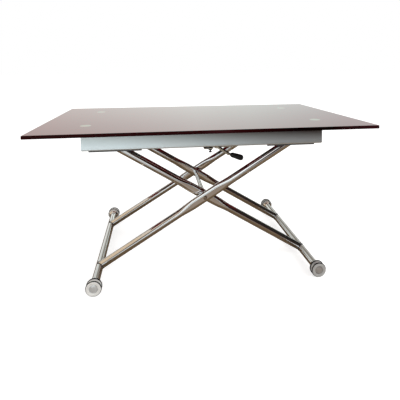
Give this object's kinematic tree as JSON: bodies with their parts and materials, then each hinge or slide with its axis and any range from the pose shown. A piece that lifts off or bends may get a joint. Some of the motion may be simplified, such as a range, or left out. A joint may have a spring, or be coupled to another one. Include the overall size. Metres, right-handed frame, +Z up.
{
  "type": "lift-top table",
  "caption": "Rectangular glass-topped table on crossed chrome tube legs with rollers, raised and lowered by a scissor linkage with a gas spring and a release lever.",
  "frame": {"origin": "on the floor under the centre of the glass top, with the rollers standing on Z = 0", "axes": "+X along the long side, towards the fixed top axle; +Z up; the lever's long side faces -Y"},
  "size_m": [1.2, 0.7, 0.558],
  "materials": {
    "lacquered_glass": "polished glass, lacquered on its underside",
    "silver_paint": "satin silver powder coat",
    "dark_steel": "satin dark coat",
    "chrome": "polished",
    "satin_metal": "satin turned",
    "black_rubber": "matte",
    "bright_steel": "bright",
    "nylon": "matte",
    "black_paint": "gloss",
    "black_plastic": "moulded, slight gloss"
  },
  "bodies": {
    "left_rollers": {"left_axle": "bright_steel", "left_roller_front": "satin_metal", "left_roller_back": "satin_metal", "left_tyre_rings": "black_rubber", "left_roller_caps": "satin_metal"},
    "outer_legs": {"outer_leg_front": "chrome", "outer_leg_back": "chrome", "left_foot_bar": "chrome", "left_foot_hubs": "chrome", "outer_leg_sleeves": "chrome", "outer_leg_bushes": "nylon", "pivot_bushes": "nylon"},
    "inner_legs": {"inner_leg_front": "chrome", "inner_leg_back": "chrome", "right_foot_bar": "chrome", "right_foot_hubs": "chrome", "inner_leg_sleeves": "chrome", "inner_leg_bushes": "nylon", "pivot_stretcher": "chrome", "pivot_bolts": "bright_steel"},
    "right_rollers": {"right_axle": "bright_steel", "right_roller_front": "satin_metal", "right_roller_back": "satin_metal", "right_tyre_rings": "black_rubber", "right_roller_caps": "satin_metal"},
    "top_frame": {"glass_top": "lacquered_glass", "glass_pads": "satin_metal", "pad_screws": "bright_steel", "apron_front": "silver_paint", "apron_back": "silver_paint", "apron_left": "silver_paint", "apron_right": "silver_paint", "cross_rail_left": "silver_paint", "cross_rail_mid": "silver_paint", "cross_rail_right": "silver_paint", "slide_track_front": "dark_steel", "slide_track_back": "dark_steel", "pivot_plate_front": "dark_steel", "pivot_plate_back": "dark_steel", "top_axle": "bright_steel", "top_axle_spacers": "nylon", "top_axle_clips": "bright_steel", "gas_cylinder": "black_paint", "gas_gland": "bright_steel", "cylinder_clamps": "dark_steel", "gas_stud_nut": "bright_steel", "lever_bracket": "bright_steel", "shaft_bearing": "dark_steel", "stop_screw": "dark_steel"},
    "carriage": {"slide_axle": "bright_steel", "slide_blocks": "nylon", "slide_spacers": "nylon", "rod_eye": "bright_steel", "gas_rod": "bright_steel"},
    "lever": {"lever_bar": "bright_steel", "lever_grip": "black_plastic", "release_shaft": "bright_steel", "release_paddle": "bright_steel"},
    "valve_pin": {"valve_pin": "bright_steel"}
  },
  "joints": [
    {"name": "lift", "type": "hinge", "parent": "left_rollers", "child": "outer_legs", "pos_m": [-0.39796, 0, 0.027], "axis": [0, -1, 0], "range_deg": [-7, 12.1]},
    {"name": "inner_fold", "type": "hinge", "parent": "outer_legs", "child": "inner_legs", "pos_m": [0, 0, 0.26849], "axis": [0, -1, 0], "range_deg": [-24.3, 14.1]},
    {"name": "top_level", "type": "hinge", "parent": "outer_legs", "child": "top_frame", "pos_m": [0.3586, 0, 0.48609], "axis": [0, -1, 0], "range_deg": [-12.2, 7.1]},
    {"name": "slide_level", "type": "hinge", "parent": "inner_legs", "child": "carriage", "pos_m": [-0.3586, 0, 0.48609], "axis": [0, -1, 0], "range_deg": [-7.1, 12.2]},
    {"name": "right_roll", "type": "hinge", "parent": "inner_legs", "child": "right_rollers", "pos_m": [0.39796, 0, 0.027], "axis": [0, -1, 0], "continuous": true},
    {"name": "lever_pull", "type": "hinge", "parent": "top_frame", "child": "lever", "pos_m": [0.04, -0.201, 0.47109], "axis": [0, -1, 0], "range_deg": [0, 12], "stiffness_Nm_per_rad": 4, "springref_deg": -8.59},
    {"name": "valve_press", "type": "slide", "parent": "top_frame", "child": "valve_pin", "axis": [-1, 0, 0], "range_m": [0, 0.0037]}
  ],
  "couplings": [
    {"joint": "inner_fold", "follows": "lift", "ratio": -2},
    {"joint": "top_level", "follows": "lift", "ratio": -1},
    {"joint": "slide_level", "follows": "lift", "ratio": 1},
    {"joint": "valve_press", "follows": "lever_pull", "m_per_rad": 0.0172}
  ]
}
